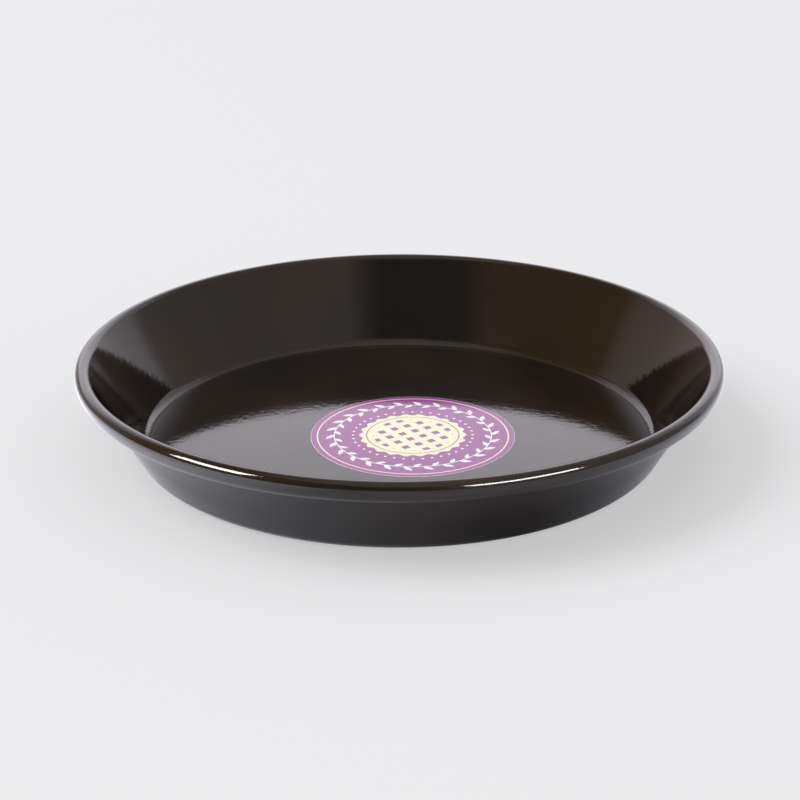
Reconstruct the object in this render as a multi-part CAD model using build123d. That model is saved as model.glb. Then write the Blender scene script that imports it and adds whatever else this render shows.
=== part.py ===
"""Round pie dish: one drawn steel sheet with a rolled rim, fired enamel all over it and a film label."""
import os
from math import asin, atan2, cos, degrees, hypot, radians, sin

from build123d import *

# All lengths are in millimetres and all angles in degrees.
# The origin is the middle of the underside, and +Z is the axis of the dish.

# Outside of the finished dish
rim_diameter = 280.0
dish_height = 40.0
base_diameter = 219.0
corner_outer_radius = 7.0

# Rolled rim over its enamel: a tight crown, then a wider curl whose lip stops short of the wall
crown_radius = 3.4
curl_radius = 6.0
curl_gap = 1.0

# Layers of the wall: the steel, and the enamel on each of its faces
steel_thickness = 0.8
enamel_thickness = 0.25

# Round film label stuck on the floor of the dish, a little off its middle
label_diameter = 91.0
label_thickness = 0.12
label_shift_right = 5.8
label_shift_front = 1.6

# Distance from the middle of the sheet to the face of each layer
steel_face = steel_thickness / 2
enamel_face = steel_face + enamel_thickness
floor_top = enamel_face + enamel_face


def wall_lean(corner, corner_bend, crown, crown_bend):
    """Angle from level of the wall that leaves the corner's arc, crosses over and meets the crown's."""
    across = crown[0] - corner[0]
    up = crown[1] - corner[1]
    crossing = asin((corner_bend + crown_bend) / hypot(across, up))
    return degrees(atan2(up, across) + crossing)


def curl_turn(lean, crown_bend, curl_bend):
    """Turn of the curl below the rim's widest point that leaves curl_gap between its lip and the wall."""
    step_in = (curl_bend - crown_bend) * sin(radians(lean))
    lip_to_wall = curl_gap + enamel_face + enamel_face
    return 180 - lean - degrees(asin((lip_to_wall + step_in - crown_bend) / curl_bend))


def sheet_middle_line():
    """Middle of the sheet in the (radius, height) plane, from the axis to the cut edge in the curl."""
    corner_bend = corner_outer_radius - enamel_face
    crown_bend = crown_radius - enamel_face
    curl_bend = curl_radius - enamel_face
    corner = (base_diameter / 2, corner_outer_radius)
    crown = (rim_diameter / 2 - crown_radius, dish_height - crown_radius)
    lean = wall_lean(corner, corner_bend, crown, crown_bend)
    head_turn = radians(lean)
    wall_head = (crown[0] - crown_bend * sin(head_turn), crown[1] + crown_bend * cos(head_turn))
    with BuildLine() as middle:
        floor = Line((0, enamel_face), (corner[0], enamel_face))
        turn_up = JernArc(floor @ 1, floor % 1, corner_bend, lean)
        wall = Line(turn_up @ 1, wall_head)
        turn_over = JernArc(wall @ 1, wall % 1, crown_bend, -lean - 90)
        JernArc(turn_over @ 1, turn_over % 1, curl_bend, -curl_turn(lean, crown_bend, curl_bend))
    return middle.wire()


def sheet_out_to(face_distance):
    """Solid of revolution of all that lies within face_distance of the middle of the sheet."""
    outline = sheet_middle_line().offset_2d(face_distance, kind=Kind.ARC, side=Side.BOTH)
    outside_axis = Rectangle(rim_diameter, rim_diameter, align=(Align.MIN, Align.CENTER))
    section = Face(outline) & outside_axis
    return revolve(Plane.XZ * section, Axis.Z)


def steel_pressing():
    """Drawn steel sheet: flat floor, rounded corner, leaning wall and rolled rim."""
    return sheet_out_to(steel_face)


def enamel_coat():
    """Glossy dark enamel, fired on to the steel all round and over its cut edge, so that it seals it."""
    return sheet_out_to(enamel_face) - sheet_out_to(steel_face)


def film_label():
    """Round film label, stuck flat on the enamel of the floor."""
    disc = Cylinder(label_diameter / 2, label_thickness, align=(Align.CENTER, Align.CENTER, Align.MIN))
    return Pos(label_shift_right, -label_shift_front, floor_top) * disc


pieces = {
    "steel_pressing": steel_pressing(),
    "enamel_coat": enamel_coat(),
    "film_label": film_label(),
}

os.makedirs("parts", exist_ok=True)
for name, piece in pieces.items():
    piece.label = name
    export_step(piece, f"parts/{name}.step")
    print(name, round(piece.volume), "mm3")
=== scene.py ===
"""Enamelled steel pie dish with a printed film label, on a pale studio table.

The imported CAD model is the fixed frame: the steel stays as it is under the glass, and the glass coat and the
label get finer pieces in the same places. All lengths are in metres.
"""
from math import asin, atan2, cos, hypot, pi, radians, sin, sqrt

import bpy
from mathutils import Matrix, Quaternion, Vector
from mathutils.geometry import delaunay_2d_cdt


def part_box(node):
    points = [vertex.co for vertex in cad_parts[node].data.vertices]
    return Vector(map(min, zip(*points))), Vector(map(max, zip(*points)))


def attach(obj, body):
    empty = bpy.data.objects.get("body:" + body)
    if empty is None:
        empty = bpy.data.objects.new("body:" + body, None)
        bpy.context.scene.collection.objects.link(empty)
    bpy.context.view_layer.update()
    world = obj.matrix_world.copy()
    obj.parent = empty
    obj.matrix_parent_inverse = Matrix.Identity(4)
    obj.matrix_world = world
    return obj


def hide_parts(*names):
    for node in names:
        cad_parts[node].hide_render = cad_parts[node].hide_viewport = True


bl_info = {
    "name": "Enamelled Pie Dish",
    "version": (1, 0, 0),
    "blender": (4, 5, 0),
    "location": "3D View > Sidebar > Pie Dish",
    "description": "Glazes and labels a drawn steel pie dish and sets it on a studio table",
    "category": "Object",
}

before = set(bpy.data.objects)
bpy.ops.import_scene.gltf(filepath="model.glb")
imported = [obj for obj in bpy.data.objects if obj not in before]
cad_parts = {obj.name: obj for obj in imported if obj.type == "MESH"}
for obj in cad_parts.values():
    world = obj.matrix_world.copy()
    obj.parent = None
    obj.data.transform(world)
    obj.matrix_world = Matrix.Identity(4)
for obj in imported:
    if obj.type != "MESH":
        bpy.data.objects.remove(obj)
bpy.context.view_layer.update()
coat_low, coat_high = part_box("enamel_coat")
film_low, film_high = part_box("film_label")

MM = 0.001

# How proud the middle of the floor stands in the gloss, and how far out from it the floor is level again
FLOOR_BULGE = 0.95 * MM
FLOOR_BULGE_RADIUS = 105 * MM

# The table reaches out of the camera's sight on every side, and lies just clear of the underside
TABLE_HALF_WIDTH = 6.0
TABLE_DROP = 0.1 * MM


def linear(hex_colour):
    """Linear red, green and blue of an sRGB hex colour."""
    shares = [int(hex_colour[i:i + 2], 16) / 255 for i in (0, 2, 4)]
    return [s / 12.92 if s <= 0.04045 else ((s + 0.055) / 1.055) ** 2.4 for s in shares]


def length(name, description, size):
    """A property that holds a length in metres."""
    return bpy.props.FloatProperty(name=name, description=description, default=size, min=0,
                                   subtype="DISTANCE", unit="LENGTH", precision=5)


def colour(name, description, hex_colour):
    """A property that holds a colour."""
    return bpy.props.FloatVectorProperty(name=name, description=description, default=linear(hex_colour),
                                         min=0, max=1, size=3, subtype="COLOR")


class PieDishSizes(bpy.types.PropertyGroup):
    """Sizes of the drawn and glazed dish."""
    rim_diameter: length("Rim Diameter", "Widest width over the rolled rim", coat_high.x - coat_low.x)
    dish_height: length("Height", "From the underside to the top of the rim", coat_high.z - coat_low.z)
    base_diameter: length("Base Diameter", "Width of the flat underside", 219 * MM)
    corner_radius: length("Corner Radius", "Outside radius between the underside and the wall", 7 * MM)
    crown_radius: length("Crown Radius", "Radius of the rim's top over the glass", 3.4 * MM)
    curl_radius: length("Curl Radius", "Radius of the curl below the rim's top", 6 * MM)
    curl_gap: length("Curl Gap", "Slit between the curl's lip and the wall", 1 * MM)
    steel_thickness: length("Steel Thickness", "Thickness of the sheet", 0.8 * MM)
    glass_thickness: length("Glass Thickness", "Thickness of the coat on each face", 0.25 * MM)
    bedding_gap: length("Bedding Gap", "Hair's breadth that keeps the coat's inside off the steel", 0.03 * MM)
    lip_wave: length("Lip Wave", "How far the curl's lip wanders up and down", 0.25 * MM)


class PieDishGlaze(bpy.types.PropertyGroup):
    """Finish of the fired glass."""
    glass_colour: colour("Glass", "The cover coat where it is thick", "191512")
    thin_colour: colour("Thin Glass", "The cover coat where it runs thin", "241A14")
    peel_length: length("Peel Length", "Width of one ripple of the orange peel", 2.4 * MM)
    peel_height: length("Peel Height", "Height of the orange peel", 0.036 * MM)
    sag_length: length("Sag Length", "Width of one slow wave of the sheet", 34 * MM)
    sag_height: length("Sag Height", "Height of the slow waves", 0.02 * MM)


class PieDishLabel(bpy.types.PropertyGroup):
    """Print of the film label."""
    film_diameter: length("Film Diameter", "Width of the round film", 90 * MM)
    print_diameter: length("Print Diameter", "Width of the printed ground on the white film", 89.7 * MM)
    print_offset: length("Print Offset", "How far the print sits off the film's middle, to the back", 0.05 * MM)
    ground_ink: colour("Ground Ink", "Violet of the printed ground", "8C2C86")
    motif_ink: colour("Motif Ink", "Cream of the pie and the rule", "F1ECC6")
    film_white: colour("Film", "White of the bare film and the wreath", "F4F3F4")


class PieDishStudio(bpy.types.PropertyGroup):
    """Table, light and camera."""
    # Colour of the table's glow as the gloss sees it, a painted reflection
    mirrored_colour: colour("Table in the Gloss", "Colour of the table as the gloss mirrors it", "EBEBF5")
    table_colour: colour("Table", "Matt white of the table", "ECECEE")
    backdrop_colour: colour("Backdrop", "Paper that the camera sees beyond the table", "ECECEE")
    self_light: bpy.props.FloatProperty(name="Table Glow", description="Share of its own light in the table's shade",
                                        default=0.547, min=0, max=1, subtype="FACTOR")
    fill_light: bpy.props.FloatProperty(name="Fill Light", description="Soft light from all round",
                                        default=0.67, min=0)
    key_light: bpy.props.FloatProperty(name="Key Light", description="Brightness of the lamp that casts the shadow",
                                       default=4.6, min=0)
    mirrored_light: bpy.props.FloatProperty(name="Mirrored Light", description="Brightness of the lamps in the gloss",
                                            default=27, min=0)
    camera_distance: length("Camera Distance", "How far in front of the dish the camera stands", 813.7 * MM)
    camera_height: length("Camera Height", "Height of the camera over the table", 347.9 * MM)
    camera_dip: bpy.props.FloatProperty(name="Camera Dip", description="How far the camera looks down",
                                        default=0.38605, subtype="ANGLE", unit="ROTATION")
    camera_turn: bpy.props.FloatProperty(name="Camera Turn", description="How far the camera looks to the right",
                                         default=0.00025, subtype="ANGLE", unit="ROTATION")
    camera_roll: bpy.props.FloatProperty(name="Camera Roll", description="Turn of the camera about its view",
                                         default=-0.0032, subtype="ANGLE", unit="ROTATION")


def add(tree, kind, settings=None, sockets=None):
    """Adds a node, with its settings, and its sockets' values or the nodes and outputs that feed them."""
    node = tree.nodes.new(kind)
    for name, value in (settings or {}).items():
        setattr(node, name, value)
    for name, value in (sockets or {}).items():
        source = value.outputs[0] if isinstance(value, bpy.types.Node) else value
        if isinstance(source, bpy.types.NodeSocket):
            tree.links.new(source, node.inputs[name])
        else:
            node.inputs[name].default_value = source
    return node


def new_material(name):
    """An empty node material and its tree."""
    material = bpy.data.materials.new(name)
    material.use_nodes = True
    material.node_tree.nodes.clear()
    return material, material.node_tree


def opaque(colour_value):
    """A colour with full alpha, as a colour socket takes it."""
    return (*colour_value, 1)


def bulge(tree, place):
    """Bump of the flat floor: drawn sheet springs back, so that its middle stands a little proud in the gloss."""
    flat = add(tree, "ShaderNodeVectorMath", {"operation": "MULTIPLY"}, {0: place, 1: (1, 1, 0)})
    out = add(tree, "ShaderNodeVectorMath", {"operation": "LENGTH"}, {0: flat})
    swell = add(tree, "ShaderNodeMapRange", {"interpolation_type": "SMOOTHSTEP"},
                {"Value": out.outputs["Value"], "From Max": FLOOR_BULGE_RADIUS, "To Min": 1, "To Max": 0})
    return add(tree, "ShaderNodeBump", None, {"Strength": 1, "Distance": FLOOR_BULGE, "Height": swell})


def fired_glass(glaze):
    """Vitreous enamel: dark glass fused on to steel at 800 degrees C.

    It flows as it melts, so it is as smooth as glass, and mirrors its surroundings weakly. The melt leaves a fine
    orange peel, and the sheet under it slow waves, so that edges in the mirror image tremble.
    """
    material, tree = new_material("vitreous enamel, fired gloss")
    place = add(tree, "ShaderNodeTexCoord").outputs["Object"]
    clouds = add(tree, "ShaderNodeTexNoise", {"noise_dimensions": "3D"},
                 {"Vector": place, "Scale": 1 / (55 * MM), "Detail": 3, "Roughness": 0.55})
    thickness = add(tree, "ShaderNodeMapRange", None,
                    {"Value": clouds, "From Min": 0.38, "From Max": 0.66})
    glass = add(tree, "ShaderNodeMix", {"data_type": "RGBA"},
                {0: thickness, 6: opaque(glaze.glass_colour), 7: opaque(glaze.thin_colour)})
    peel = add(tree, "ShaderNodeTexNoise", {"noise_dimensions": "3D"},
               {"Vector": place, "Scale": 1 / glaze.peel_length, "Detail": 2, "Roughness": 0.45})
    sag = add(tree, "ShaderNodeTexNoise", {"noise_dimensions": "3D"},
              {"Vector": place, "Scale": 1 / glaze.sag_length, "Detail": 1, "Roughness": 0.4})
    waves = add(tree, "ShaderNodeBump", None,
                {"Strength": 1, "Distance": glaze.sag_height, "Height": sag, "Normal": bulge(tree, place)})
    ripples = add(tree, "ShaderNodeBump", None,
                  {"Strength": 1, "Distance": glaze.peel_height, "Height": peel, "Normal": waves})
    haze = add(tree, "ShaderNodeMapRange", None,
               {"Value": clouds, "From Min": 0.3, "From Max": 0.7, "To Min": 0.055, "To Max": 0.095})
    surface = add(tree, "ShaderNodeBsdfPrincipled", None,
                  {"Base Color": glass.outputs[2], "Roughness": haze, "IOR": 1.5, "Normal": ripples})
    add(tree, "ShaderNodeOutputMaterial", None, {"Surface": surface})
    return material


def pickled_steel():
    """Low-carbon steel, cold drawn and pickled in acid so that glass keys to it: grey, matt and finely pitted."""
    material, tree = new_material("drawn steel, pickled matt")
    place = add(tree, "ShaderNodeTexCoord").outputs["Object"]
    pits = add(tree, "ShaderNodeTexNoise", None, {"Vector": place, "Scale": 1 / (0.6 * MM), "Detail": 4})
    tone = add(tree, "ShaderNodeMix", {"data_type": "RGBA"},
               {0: pits, 6: opaque(linear("7C7D80")), 7: opaque(linear("9A9B9D"))})
    key = add(tree, "ShaderNodeBump", None, {"Strength": 1, "Distance": 0.01 * MM, "Height": pits})
    surface = add(tree, "ShaderNodeBsdfPrincipled", None,
                  {"Base Color": tone.outputs[2], "Metallic": 1, "Roughness": 0.42, "Normal": key})
    add(tree, "ShaderNodeOutputMaterial", None, {"Surface": surface})
    return material


def varnished_film(name, ink):
    """Polypropylene label film, printed and gloss varnished: flat ink under a clear skin that mirrors like glass."""
    material, tree = new_material(name)
    place = add(tree, "ShaderNodeTexCoord").outputs["Object"]
    # The rollers lay the ink with a mottle of about half a millimetre, too faint to see but in the mirror's shade.
    mottle = add(tree, "ShaderNodeTexNoise", None, {"Vector": place, "Scale": 1 / (0.5 * MM), "Detail": 2})
    weight = add(tree, "ShaderNodeMapRange", None, {"Value": mottle, "To Min": 0.94, "To Max": 1.03})
    shade = add(tree, "ShaderNodeVectorMath", {"operation": "SCALE"}, {0: tuple(ink), "Scale": weight})
    peel = add(tree, "ShaderNodeTexNoise", None, {"Vector": place, "Scale": 1 / (4.5 * MM), "Detail": 1})
    ripples = add(tree, "ShaderNodeBump", None,
                  {"Strength": 1, "Distance": 0.004 * MM, "Height": peel, "Normal": bulge(tree, place)})
    surface = add(tree, "ShaderNodeBsdfPrincipled", None,
                  {"Base Color": shade, "Roughness": 0.1, "IOR": 1.5, "Normal": ripples})
    add(tree, "ShaderNodeOutputMaterial", None, {"Surface": surface})
    return material


def arc(middle, radius, start, stop, steps):
    """Points on an arc from the angle start to the angle stop, both ends included."""
    angles = [start + (stop - start) * i / steps for i in range(steps + 1)]
    return [(middle[0] + radius * cos(a), middle[1] + radius * sin(a)) for a in angles]


def run(start, stop, margins):
    """Points between two ends of a straight run, close to the ends, where the shade changes from flat to round."""
    span = hypot(stop[0] - start[0], stop[1] - start[1])
    shares = [m / span for m in margins] + [0.5] + [1 - m / span for m in reversed(margins)]
    return [(start[0] + (stop[0] - start[0]) * s, start[1] + (stop[1] - start[1]) * s) for s in shares]


def sheet_skin(sizes, depth, fine):
    """Outline, in radius and height, of the skin that lies depth off the middle of the drawn sheet on every side."""
    middle_up = sizes.steel_thickness / 2 + sizes.glass_thickness
    corner_bend = sizes.corner_radius - middle_up
    crown_bend = sizes.crown_radius - middle_up
    curl_bend = sizes.curl_radius - middle_up
    corner = (sizes.base_diameter / 2, sizes.corner_radius)
    crown = (sizes.rim_diameter / 2 - sizes.crown_radius, sizes.dish_height - sizes.crown_radius)
    curl = (crown[0] - (curl_bend - crown_bend), crown[1])
    across, up = crown[0] - corner[0], crown[1] - corner[1]
    lean = atan2(up, across) + asin((corner_bend + crown_bend) / hypot(across, up))
    step_in = (curl_bend - crown_bend) * sin(lean)
    turn = pi - lean - asin((sizes.curl_gap + 2 * middle_up + step_in - crown_bend) / curl_bend)
    lip = (curl[0] + curl_bend * cos(turn), curl[1] - curl_bend * sin(turn))
    side, foot, top = lean - pi / 2, -pi / 2, lean + pi / 2
    # The number before fine is the number of steps of that arc at fineness 1.
    outer_corner = arc(corner, corner_bend + depth, foot, side, 4 * fine)
    under_crown = arc(crown, crown_bend - depth, top, 0, 5 * fine)
    in_curl = arc(curl, curl_bend - depth, 0, -turn, 4 * fine)
    round_lip = arc(lip, depth, pi - turn, 2 * pi - turn, 3 * fine)
    over_curl = arc(curl, curl_bend + depth, -turn, 0, 7 * fine)
    over_crown = arc(crown, crown_bend + depth, 0, top, 9 * fine)
    inner_corner = arc(corner, corner_bend - depth, side, foot, 4 * fine)
    under, floor = (0, middle_up - depth), (0, middle_up + depth)
    edges = [0.2 * MM, 1 * MM, 5 * MM]
    return (
        [under] + run(under, outer_corner[0], edges) + outer_corner
        + run(outer_corner[-1], under_crown[0], edges) + under_crown[:-1]
        + in_curl[:-1] + round_lip[:-1] + over_curl[:-1] + over_crown
        + run(over_crown[-1], inner_corner[0], edges) + inner_corner
        + run(inner_corner[-1], floor, edges) + [floor]
    )


def turning_tree():
    """Geometry Nodes that turn a section about the upright axis, as a lathe would, and let its lip wander."""
    tree = bpy.data.node_groups.new("turned coat", "GeometryNodeTree")
    interface = tree.interface
    interface.new_socket("Section", in_out="INPUT", socket_type="NodeSocketObject")
    for name in ("Turning Radius", "Weld Distance", "Lip Height", "Lip Depth", "Lip Wave", "Lip Wave Length"):
        interface.new_socket(name, in_out="INPUT", socket_type="NodeSocketFloat").subtype = "DISTANCE"
    for name in ("Steps Around", "Seed"):
        interface.new_socket(name, in_out="INPUT", socket_type="NodeSocketInt")
    interface.new_socket("Glaze", in_out="INPUT", socket_type="NodeSocketMaterial")
    interface.new_socket("Geometry", in_out="OUTPUT", socket_type="NodeSocketGeometry")
    given = add(tree, "NodeGroupInput").outputs
    drawn = add(tree, "GeometryNodeObjectInfo", None, {"Object": given["Section"]})
    place = add(tree, "ShaderNodeSeparateXYZ", None, {0: add(tree, "GeometryNodeInputPosition")})
    # A profile is carried along its path with its X to the outside and its Y downwards.
    out = add(tree, "ShaderNodeMath", {"operation": "SUBTRACT"}, {0: place.outputs["X"], 1: given["Turning Radius"]})
    down = add(tree, "ShaderNodeMath", {"operation": "MULTIPLY"}, {0: place.outputs["Z"], 1: -1})
    laid = add(tree, "ShaderNodeCombineXYZ", None, {"X": out, "Y": down})
    profile = add(tree, "GeometryNodeSetPosition", None,
                  {"Geometry": drawn.outputs["Geometry"], "Position": laid})
    path = add(tree, "GeometryNodeCurvePrimitiveCircle", None,
               {"Resolution": given["Steps Around"], "Radius": given["Turning Radius"]})
    turned = add(tree, "GeometryNodeCurveToMesh", None, {"Curve": path, "Profile Curve": profile})
    closed = add(tree, "GeometryNodeMergeByDistance", None,
                 {"Geometry": turned, "Distance": given["Weld Distance"]})
    # The lip is the part of the curl that lies outside Turning Radius minus Lip Depth and below Lip Height.
    spot = add(tree, "ShaderNodeSeparateXYZ", None, {0: add(tree, "GeometryNodeInputPosition")})
    east = add(tree, "ShaderNodeMath", {"operation": "POWER"}, {0: spot.outputs["X"], 1: 2})
    north = add(tree, "ShaderNodeMath", {"operation": "POWER"}, {0: spot.outputs["Y"], 1: 2})
    both = add(tree, "ShaderNodeMath", {"operation": "ADD"}, {0: east, 1: north})
    reach = add(tree, "ShaderNodeMath", {"operation": "SQRT"}, {0: both})
    inner = add(tree, "ShaderNodeMath", {"operation": "SUBTRACT"},
                {0: given["Turning Radius"], 1: given["Lip Depth"]})
    outside = add(tree, "ShaderNodeMath", {"operation": "GREATER_THAN"}, {0: reach, 1: inner})
    low = add(tree, "ShaderNodeMath", {"operation": "SUBTRACT"}, {0: given["Lip Height"], 1: spot.outputs["Z"]})
    share = add(tree, "ShaderNodeMath", {"operation": "DIVIDE", "use_clamp": True},
                {0: low, 1: given["Lip Depth"]})
    hold = add(tree, "ShaderNodeMath", {"operation": "MULTIPLY"}, {0: share, 1: outside})
    pitch = add(tree, "ShaderNodeMath", {"operation": "DIVIDE"}, {0: 1, 1: given["Lip Wave Length"]})
    wander = add(tree, "ShaderNodeTexNoise", {"noise_dimensions": "4D"},
                 {"W": given["Seed"], "Scale": pitch, "Detail": 1})
    swing = add(tree, "ShaderNodeMath", {"operation": "MULTIPLY_ADD"}, {0: wander, 1: 2, 2: -1})
    rise = add(tree, "ShaderNodeMath", {"operation": "MULTIPLY"}, {0: swing, 1: given["Lip Wave"]})
    lift = add(tree, "ShaderNodeMath", {"operation": "MULTIPLY"}, {0: rise, 1: hold})
    wavy = add(tree, "GeometryNodeSetPosition", None,
               {"Geometry": closed, "Offset": add(tree, "ShaderNodeCombineXYZ", None, {"Z": lift})})
    smooth = add(tree, "GeometryNodeSetShadeSmooth", None, {"Geometry": wavy})
    whole = add(tree, "GeometryNodeRealizeInstances", None, {"Geometry": smooth})
    glazed = add(tree, "GeometryNodeSetMaterial", None, {"Geometry": whole, "Material": given["Glaze"]})
    add(tree, "NodeGroupOutput", None, {"Geometry": glazed})
    return tree


def link(thing):
    """Puts an object into the scene."""
    bpy.context.scene.collection.objects.link(thing)
    return thing


def section_curve(outlines):
    """A curve object with one straight-edged spline for each outline of radii and heights."""
    curve = bpy.data.curves.new("dish section", "CURVE")
    curve.dimensions = "3D"
    for outline in outlines:
        spline = curve.splines.new("POLY")
        spline.points.add(len(outline) - 1)
        for point, (radius, height) in zip(spline.points, outline):
            point.co = (radius, 0, height, 1)
    return link(bpy.data.objects.new("dish section", curve))


def settle(piece, replaced):
    """Ties a finished piece to the frame."""
    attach(piece, "root")
    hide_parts(replaced)


class PIEDISH_OT_glaze_coat(bpy.types.Operator):
    """Turn the glass coat, inside and outside, round the axis of the dish"""
    bl_idname = "pie_dish.glaze_coat"
    bl_label = "Glaze Coat"

    def execute(self, context):
        sizes = context.scene.pie_dish_sizes
        glaze = context.scene.pie_dish_glaze
        outside = sizes.steel_thickness / 2 + sizes.glass_thickness
        inside = sizes.steel_thickness / 2 + sizes.bedding_gap
        # Run backwards, the outer skin's faces point out of the glass, and run forwards the inner one's do.
        skins = [sheet_skin(sizes, outside, 2)[::-1], sheet_skin(sizes, inside, 1)]
        section = section_curve(skins)
        finish = fired_glass(glaze)
        turner = link(bpy.data.objects.new("coat turner", bpy.data.meshes.new("coat turner")))
        modifier = turner.modifiers.new("turned coat", "NODES")
        modifier.node_group = turning_tree()
        values = {
            "Section": section, "Turning Radius": sizes.rim_diameter / 2, "Steps Around": 400,
            "Weld Distance": 0.001 * MM, "Lip Height": 35 * MM, "Lip Depth": 8 * MM,
            "Lip Wave": sizes.lip_wave, "Lip Wave Length": 25 * MM, "Seed": 4, "Glaze": finish,
        }
        for socket in modifier.node_group.interface.items_tree:
            if socket.in_out == "INPUT":
                modifier[socket.identifier] = values[socket.name]
        graph = context.evaluated_depsgraph_get()
        mesh = bpy.data.meshes.new_from_object(turner.evaluated_get(graph))
        coat = link(bpy.data.objects.new("glass_coat", mesh))
        bpy.data.objects.remove(turner)
        bpy.data.objects.remove(section)
        settle(coat, "enamel_coat")
        return {"FINISHED"}


class PIEDISH_OT_steel_finish(bpy.types.Operator):
    """Give the drawn steel sheet under the glass its pickled finish"""
    bl_idname = "pie_dish.steel_finish"
    bl_label = "Steel Finish"

    def execute(self, context):
        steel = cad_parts["steel_pressing"]
        finish = pickled_steel()
        for material_slot in steel.material_slots:
            material_slot.material = finish
        return {"FINISHED"}


def disc(radius, count):
    """Outline of a round spot about the origin, with count points."""
    return [(radius * cos(2 * pi * i / count), radius * sin(2 * pi * i / count)) for i in range(count)]


def turned(outline, angle, reach):
    """An outline moved out by reach and then turned about the middle by angle."""
    return [((x + reach) * cos(angle) - y * sin(angle), (x + reach) * sin(angle) + y * cos(angle))
            for x, y in outline]


def leaf(span, width):
    """Outline of a pointed leaf that lies along X from the origin, widest just before its middle."""
    steps, belly = 8, 0.8
    shares = [i / steps for i in range(steps + 1)]
    lower = [(span * s, -width / 2 * sin(pi * s ** belly)) for s in shares]
    return lower + [(x, -y) for x, y in reversed(lower[1:-1])]


def label_shapes(print_radius):
    """Shapes of the print from the bottom ink to the top one, as pairs of an ink and an outline about the middle.

    A ring is a disc of its own ink under a smaller disc of the ink inside it.
    """
    ground_points, ring_points, crust_points, berry_points = 240, 180, 120, 14
    rule_outside, rule_inside = 42.4 * MM, 41.8 * MM
    shapes = [("ground", disc(print_radius, ground_points))]
    shapes += [("motif", disc(rule_outside, ring_points)), ("ground", disc(rule_inside, ring_points))]
    # Wreath: a stem ring with a pair of leaves at each step, and a ring of berries inside it
    stem_outside, stem_inside = 34.9 * MM, 34.4 * MM
    shapes += [("film", disc(stem_outside, ring_points)), ("ground", disc(stem_inside, ring_points))]
    leaf_pairs, outer_root, inner_root = 26, 34.8 * MM, 34.5 * MM
    outer_leaf = turned(leaf(5.6 * MM, 2.3 * MM), radians(50), 0)
    inner_leaf = turned(leaf(4.7 * MM, 2.0 * MM), radians(130), 0)
    for i in range(leaf_pairs):
        shapes.append(("film", turned(outer_leaf, 2 * pi * i / leaf_pairs, outer_root)))
        shapes.append(("film", turned(inner_leaf, 2 * pi * (i + 0.5) / leaf_pairs, inner_root)))
    berries, berry_ring = 40, 26.4 * MM
    berry = disc(0.62 * MM, berry_points)
    for i in range(berries):
        shapes.append(("film", turned(berry, 2 * pi * i / berries, berry_ring)))
    # Pie seen from above: a crimped crust, the filling, and a lattice whose ends run into the crust
    crust_mm, crimp_mm, crimps, points = 23.0, 0.75, 22, 264
    crust = []
    for i in range(points):
        radius = (crust_mm + crimp_mm * cos(crimps * 2 * pi * i / points)) * MM
        crust.append((radius * cos(2 * pi * i / points), radius * sin(2 * pi * i / points)))
    shapes.append(("motif", crust))
    line_outside, line_inside, filling = 20.6 * MM, 20.1 * MM, 17.6 * MM
    shapes += [("ground", disc(line_outside, crust_points)), ("motif", disc(line_inside, crust_points))]
    shapes.append(("ground", disc(filling, crust_points)))
    lattice, strip_spacing, strip_half = 18.8 * MM, 6.6 * MM, 1.7 * MM
    for angle in (radians(32), radians(122)):
        for i in range(-2, 3):
            middle = strip_spacing * i
            reach = sqrt(lattice ** 2 - middle ** 2)
            low, high = middle - strip_half, middle + strip_half
            strip = [(-reach, low), (reach, low), (reach, high), (-reach, high)]
            shapes.append(("motif", turned(strip, angle, 0)))
    return shapes


class PIEDISH_OT_film_label(bpy.types.Operator):
    """Cut the round film label and print a pie in a wreath on it"""
    bl_idname = "pie_dish.film_label"
    bl_label = "Film Label"

    def execute(self, context):
        sizes = context.scene.pie_dish_label
        radius = sizes.film_diameter / 2
        # The film lies at the front of the CAD label's place.
        middle = Vector(((film_low.x + film_high.x) / 2, film_low.y + radius, film_high.z))
        bevel = 0.03 * MM
        edge_points, same_point, on_edge = 320, 1e-7, 1e-6
        shapes = [("film", disc(radius - bevel, edge_points))]
        for ink, outline in label_shapes(sizes.print_diameter / 2):
            shapes.append((ink, [(x, y + sizes.print_offset) for x, y in outline]))
        corners, outlines = [], []
        for ink, outline in shapes:
            outlines.append(list(range(len(corners), len(corners) + len(outline))))
            corners += [Vector(point) for point in outline]
        flat, _, triangles, _, _, owners = delaunay_2d_cdt(corners, [], outlines, 1, same_point)
        inks = ["film", "ground", "motif"]
        points = [(middle.x + p.x, middle.y + p.y, film_high.z) for p in flat]
        faces = [list(t) for t in triangles]
        shades = [inks.index(shapes[max(owner)][0]) for owner in owners]
        edge = [i for i, p in enumerate(flat) if p.length > radius - bevel - on_edge]
        edge.sort(key=lambda i: atan2(flat[i].y, flat[i].x))
        # The cut edge: a small bevel and the side, down to the glued underside
        rings = [edge]
        for height in (film_high.z - bevel, film_low.z):
            rings.append(list(range(len(points), len(points) + len(edge))))
            points += [(middle.x + flat[i].x / flat[i].length * radius,
                        middle.y + flat[i].y / flat[i].length * radius, height) for i in edge]
        for upper, lower in zip(rings, rings[1:]):
            for i in range(len(edge)):
                faces.append([upper[i - 1], lower[i - 1], lower[i], upper[i]])
                shades.append(0)
        faces.append(rings[-1][::-1])
        shades.append(0)
        mesh = bpy.data.meshes.new("printed_label")
        mesh.from_pydata(points, [], faces)
        mesh.polygons.foreach_set("material_index", shades)
        for tint, ink in (("bare white", sizes.film_white), ("violet ink", sizes.ground_ink),
                          ("cream ink", sizes.motif_ink)):
            mesh.materials.append(varnished_film(f"label film, {tint} under gloss varnish", ink))
        mesh.update()
        label = link(bpy.data.objects.new("printed_label", mesh))
        settle(label, "film_label")
        return {"FINISHED"}


def bearing(azimuth):
    """Level direction at an azimuth in degrees: 0 behind the dish, 90 to its right."""
    return (sin(radians(azimuth)), cos(radians(azimuth)), 0)


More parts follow.
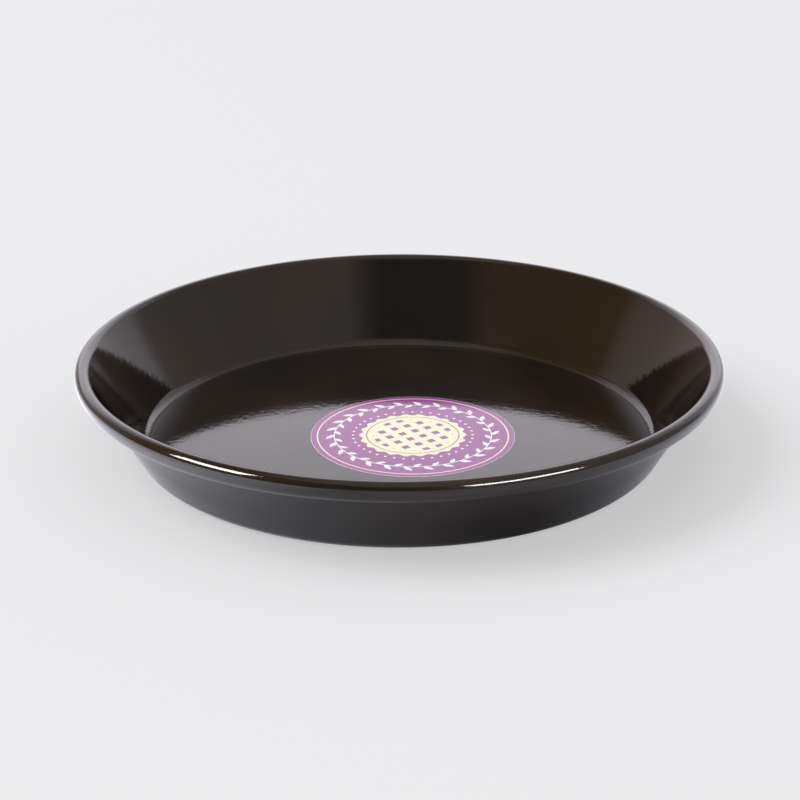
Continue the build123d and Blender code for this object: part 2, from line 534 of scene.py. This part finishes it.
def softbox(name, azimuth, elevation, distance, width, height, brightness):
    """A soft lamp that faces the dish."""
    light = bpy.data.lights.new(name, "AREA")
    light.shape = "RECTANGLE"
    light.size, light.size_y = width, height
    light.energy = brightness * pi * width * height
    lamp = link(bpy.data.objects.new(name, light))
    away, up = radians(azimuth), radians(elevation)
    direction = Vector((sin(away) * cos(up), cos(away) * cos(up), sin(up)))
    lamp.location = distance * direction
    lamp.rotation_euler = (-direction).to_track_quat("-Z", "Y").to_euler()
    lamp.visible_camera = False
    return lamp


# Each lamp has an azimuth and an elevation in degrees, and then a distance, a width and a height. The key lights the
# set and casts the shadow, and only the gloss mirrors the other two.
KEY_LAMP = ("left softbox", -100, 45, 8, 4.8, 4.8)
MIRRORED_LAMPS = (
    ("left softbox in the gloss", -124, 32, 0.33, 0.13, 0.08),
    ("right softbox in the gloss", 141, 32, 0.5, 0.28, 0.09),
)
# Azimuth that the soft fill leans to, and how much stronger it is there than the mean, and weaker opposite
FILL_AZIMUTH, FILL_LEAN = -160, 0.2
# Painted reflection of the table in the gloss, with painted shade close to the dish and painted light further out:
# its brightness all round, and then what each side adds, with its azimuth and reach in degrees
TABLE_BY_THE_DISH = (0.12, (-110, 100, 0.7), (80, 80, 0.36))
OPEN_TABLE = (1.05, (-108, 60, 2.1), (82, 60, 0.75))
# Distances from the dish's axis between which the painted shade passes into the painted light
TABLE_CLEARS_FROM, TABLE_CLEAR_AT = 122 * MM, 178 * MM
# What the gloss mirrors above the table. The ceiling fills all that is left by the patches, each laid over those
# before it: azimuth, half width, lowest and highest elevation and width of the soft edge, in degrees, and brightness.
CEILING = (0.69, 0.6, 0.53)
ROOM = (
    ("right wall", 88, 76, 0, 70, 4, (0.58, 0.5, 0.45)),
    ("left wooden wall", -89, 72, 5, 66, 5, (0.34, 0.21, 0.1)),
    ("edge of the backdrop", 2, 55, -8, 43, 4, (1.05, 1, 1.08)),
    ("middle of the backdrop", -3, 34, 9, 34, 8, (2.02, 1.93, 2.08)),
    ("wall beside the backdrop", -62, 11, 5, 30, 6, (0.66, 0.52, 0.46)),
    ("left foot of the backdrop", -48, 22, -8, 14, 4, (0.65, 0.52, 0.47)),
    ("dark room behind the camera", -170, 26, 6, 56, 10, (0.085, 0.09, 0.08)),
    ("table's left edge", -94, 36, -30, 3, 3, (1.5, 1.43, 1.43)),
    ("table's right edge", 108, 48, -30, 3, 3, (0.86, 0.83, 0.85)),
    ("table's front edge", 180, 26, -30, 2, 3, (0.42, 0.42, 0.45)),
)


def lobes(tree, toward, level, *sides):
    """Painted brightness around the dish, with a lobe of painted light for each side that fades to nothing at its
    reach.
    """
    for azimuth, reach, light in sides:
        facing = add(tree, "ShaderNodeVectorMath", {"operation": "DOT_PRODUCT"},
                     {0: toward, 1: bearing(azimuth)})
        lobe = add(tree, "ShaderNodeMapRange", {"interpolation_type": "SMOOTHSTEP"},
                   {"Value": facing.outputs["Value"], "From Min": cos(radians(reach)), "To Max": light})
        level = add(tree, "ShaderNodeMath", {"operation": "ADD"}, {0: level, 1: lobe})
    return level


def matt_table(studio):
    """Matt white laminate: an even pale surface that keeps soft shadows. It is clear when seen from below.

    In the gloss it glows with a painted reflection: painted shade close to the dish, which leans out over it,
    and painted light, brightest to the left, on the lamps' side.
    """
    material, tree = new_material("matt white table")
    place = add(tree, "ShaderNodeTexCoord").outputs["Object"]
    grain = add(tree, "ShaderNodeTexNoise", None, {"Vector": place, "Scale": 1 / (1.5 * MM), "Detail": 2})
    tone = add(tree, "ShaderNodeMapRange", None, {"Value": grain, "To Min": 0.995, "To Max": 1.005})
    shade = add(tree, "ShaderNodeVectorMath", {"operation": "SCALE"}, {0: tuple(studio.table_colour), "Scale": tone})
    ray = add(tree, "ShaderNodeLightPath").outputs
    glow = add(tree, "ShaderNodeMath", {"operation": "MULTIPLY"}, {0: ray["Is Camera Ray"], 1: studio.self_light})
    lit = add(tree, "ShaderNodeMixShader", None,
              {0: glow, 1: add(tree, "ShaderNodeBsdfDiffuse", None, {"Color": shade}),
               2: add(tree, "ShaderNodeEmission", None, {"Color": shade})})
    # Painted shade and light: glossy rays see the table glow, dim close to the dish and brighter further out and to
    # the left
    toward = add(tree, "ShaderNodeVectorMath", {"operation": "NORMALIZE"}, {0: place})
    out = add(tree, "ShaderNodeVectorMath", {"operation": "LENGTH"}, {0: place})
    clear = add(tree, "ShaderNodeMapRange", None,
                {"Value": out.outputs["Value"], "From Min": TABLE_CLEARS_FROM, "From Max": TABLE_CLEAR_AT})
    level = add(tree, "ShaderNodeMix", {"data_type": "FLOAT"},
                {0: clear, 2: lobes(tree, toward, *TABLE_BY_THE_DISH), 3: lobes(tree, toward, *OPEN_TABLE)})
    mirrored = add(tree, "ShaderNodeEmission", None, {"Color": opaque(studio.mirrored_colour), "Strength": level})
    seen = add(tree, "ShaderNodeMixShader", None, {0: ray["Is Glossy Ray"], 1: lit, 2: mirrored})
    behind = add(tree, "ShaderNodeNewGeometry").outputs["Backfacing"]
    surface = add(tree, "ShaderNodeMixShader", None,
                  {0: behind, 1: seen, 2: add(tree, "ShaderNodeBsdfTransparent")})
    add(tree, "ShaderNodeOutputMaterial", None, {"Surface": surface})
    return material


def lay_patch(tree, under, toward, level, height, patch):
    """Lays one soft-edged patch of the surroundings over those laid so far."""
    _, azimuth, half, lowest, highest, soft, light = patch
    facing = add(tree, "ShaderNodeVectorMath", {"operation": "DOT_PRODUCT"}, {0: level, 1: bearing(azimuth)})
    within = add(tree, "ShaderNodeMapRange", {"interpolation_type": "SMOOTHSTEP"},
                 {"Value": facing.outputs["Value"], "From Min": cos(radians(half + soft)),
                  "From Max": cos(radians(max(half - soft, 0)))})
    above = add(tree, "ShaderNodeMapRange", {"interpolation_type": "SMOOTHSTEP"},
                {"Value": height, "From Min": sin(radians(lowest - soft)), "From Max": sin(radians(lowest + soft))})
    below = add(tree, "ShaderNodeMapRange", {"interpolation_type": "SMOOTHSTEP"},
                {"Value": height, "From Min": sin(radians(highest + soft)), "From Max": sin(radians(highest - soft))})
    band = add(tree, "ShaderNodeMath", {"operation": "MULTIPLY"}, {0: above, 1: below})
    share = add(tree, "ShaderNodeMath", {"operation": "MULTIPLY"}, {0: band, 1: within})
    return add(tree, "ShaderNodeMix", {"data_type": "VECTOR"}, {0: share, 4: under, 5: light}).outputs[1]


def studio_world(studio):
    """The room as the gloss mirrors it and the soft fill that lights the set. The camera sees plain pale paper."""
    world = bpy.data.worlds.new("studio")
    world.use_nodes = True
    tree = world.node_tree
    tree.nodes.clear()
    toward = add(tree, "ShaderNodeTexCoord").outputs["Generated"]
    level = add(tree, "ShaderNodeVectorMath", {"operation": "NORMALIZE"},
                {0: add(tree, "ShaderNodeVectorMath", {"operation": "MULTIPLY"}, {0: toward, 1: (1, 1, 0)})})
    height = add(tree, "ShaderNodeSeparateXYZ", None, {0: toward}).outputs["Z"]
    room = CEILING
    for patch in ROOM:
        room = lay_patch(tree, room, toward, level, height, patch)
    ray = add(tree, "ShaderNodeLightPath").outputs
    facing = add(tree, "ShaderNodeVectorMath", {"operation": "DOT_PRODUCT"}, {0: toward, 1: bearing(FILL_AZIMUTH)})
    fill = add(tree, "ShaderNodeMapRange", None,
               {"Value": facing.outputs["Value"], "From Min": -1, "From Max": 1,
                "To Min": (1 - FILL_LEAN) * studio.fill_light, "To Max": (1 + FILL_LEAN) * studio.fill_light})
    seen = add(tree, "ShaderNodeMix", {"data_type": "VECTOR"}, {0: ray["Is Glossy Ray"], 4: fill, 5: room})
    paper = add(tree, "ShaderNodeMix", {"data_type": "VECTOR"},
                {0: ray["Is Camera Ray"], 4: seen.outputs[1], 5: tuple(studio.backdrop_colour)})
    light = add(tree, "ShaderNodeBackground", None, {"Color": paper.outputs[1]})
    add(tree, "ShaderNodeOutputWorld", None, {"Surface": light})
    return world


class PIEDISH_OT_studio(bpy.types.Operator):
    """Set up the table, the soft lights and the camera"""
    bl_idname = "pie_dish.studio"
    bl_label = "Studio"

    def execute(self, context):
        scene = context.scene
        studio = scene.pie_dish_studio
        scene.view_settings.view_transform = "Standard"
        scene.world = studio_world(studio)
        half = TABLE_HALF_WIDTH
        corners = [(-half, -half), (half, -half), (half, half), (-half, half)]
        mesh = bpy.data.meshes.new("table")
        mesh.from_pydata([(x, y, -TABLE_DROP) for x, y in corners], [], [(0, 1, 2, 3)])
        mesh.materials.append(matt_table(studio))
        link(bpy.data.objects.new("table", mesh))
        softbox(*KEY_LAMP, studio.key_light).visible_glossy = False
        for lamp in MIRRORED_LAMPS:
            softbox(*lamp, studio.mirrored_light).visible_diffuse = False
        camera = bpy.data.cameras.new("camera")
        camera.sensor_width = 36
        camera.lens = 90
        camera.clip_start = 0.01
        eye = link(bpy.data.objects.new("camera", camera))
        eye.location = (0, -studio.camera_distance, studio.camera_height)
        level = cos(studio.camera_dip)
        ahead = Vector((sin(studio.camera_turn) * level, cos(studio.camera_turn) * level, -sin(studio.camera_dip)))
        turn = ahead.to_track_quat("-Z", "Y") @ Quaternion((0, 0, 1), studio.camera_roll)
        eye.rotation_mode = "QUATERNION"
        eye.rotation_quaternion = turn
        scene.camera = eye
        return {"FINISHED"}


class PIEDISH_PT_sidebar(bpy.types.Panel):
    """Sizes, colours and making steps of the pie dish"""
    bl_label = "Pie Dish"
    bl_space_type = "VIEW_3D"
    bl_region_type = "UI"
    bl_category = "Pie Dish"

    def draw(self, context):
        for title, group, steps in PANEL_ROWS:
            box = self.layout.box()
            box.label(text=title)
            settings = getattr(context.scene, group)
            for name in type(settings).__annotations__:
                box.prop(settings, name)
            for step in steps:
                box.operator(step.bl_idname)


PANEL_ROWS = (
    ("Dish", "pie_dish_sizes", (PIEDISH_OT_steel_finish,)),
    ("Glaze", "pie_dish_glaze", (PIEDISH_OT_glaze_coat,)),
    ("Label", "pie_dish_label", (PIEDISH_OT_film_label,)),
    ("Studio", "pie_dish_studio", (PIEDISH_OT_studio,)),
)
SETTINGS = {
    "pie_dish_sizes": PieDishSizes,
    "pie_dish_glaze": PieDishGlaze,
    "pie_dish_label": PieDishLabel,
    "pie_dish_studio": PieDishStudio,
}
TOOLS = (PIEDISH_OT_steel_finish, PIEDISH_OT_glaze_coat, PIEDISH_OT_film_label, PIEDISH_OT_studio, PIEDISH_PT_sidebar)


def register():
    for group in SETTINGS.values():
        bpy.utils.register_class(group)
    for tool in TOOLS:
        bpy.utils.register_class(tool)
    for name, group in SETTINGS.items():
        setattr(bpy.types.Scene, name, bpy.props.PointerProperty(type=group))


def unregister():
    for name in SETTINGS:
        delattr(bpy.types.Scene, name)
    for tool in reversed(TOOLS):
        bpy.utils.unregister_class(tool)
    for group in SETTINGS.values():
        bpy.utils.unregister_class(group)


def main():
    """Makes every piece and the studio."""
    register()
    bpy.ops.pie_dish.steel_finish()
    bpy.ops.pie_dish.glaze_coat()
    bpy.ops.pie_dish.film_label()
    bpy.ops.pie_dish.studio()


if __name__ == "__main__":
    main()
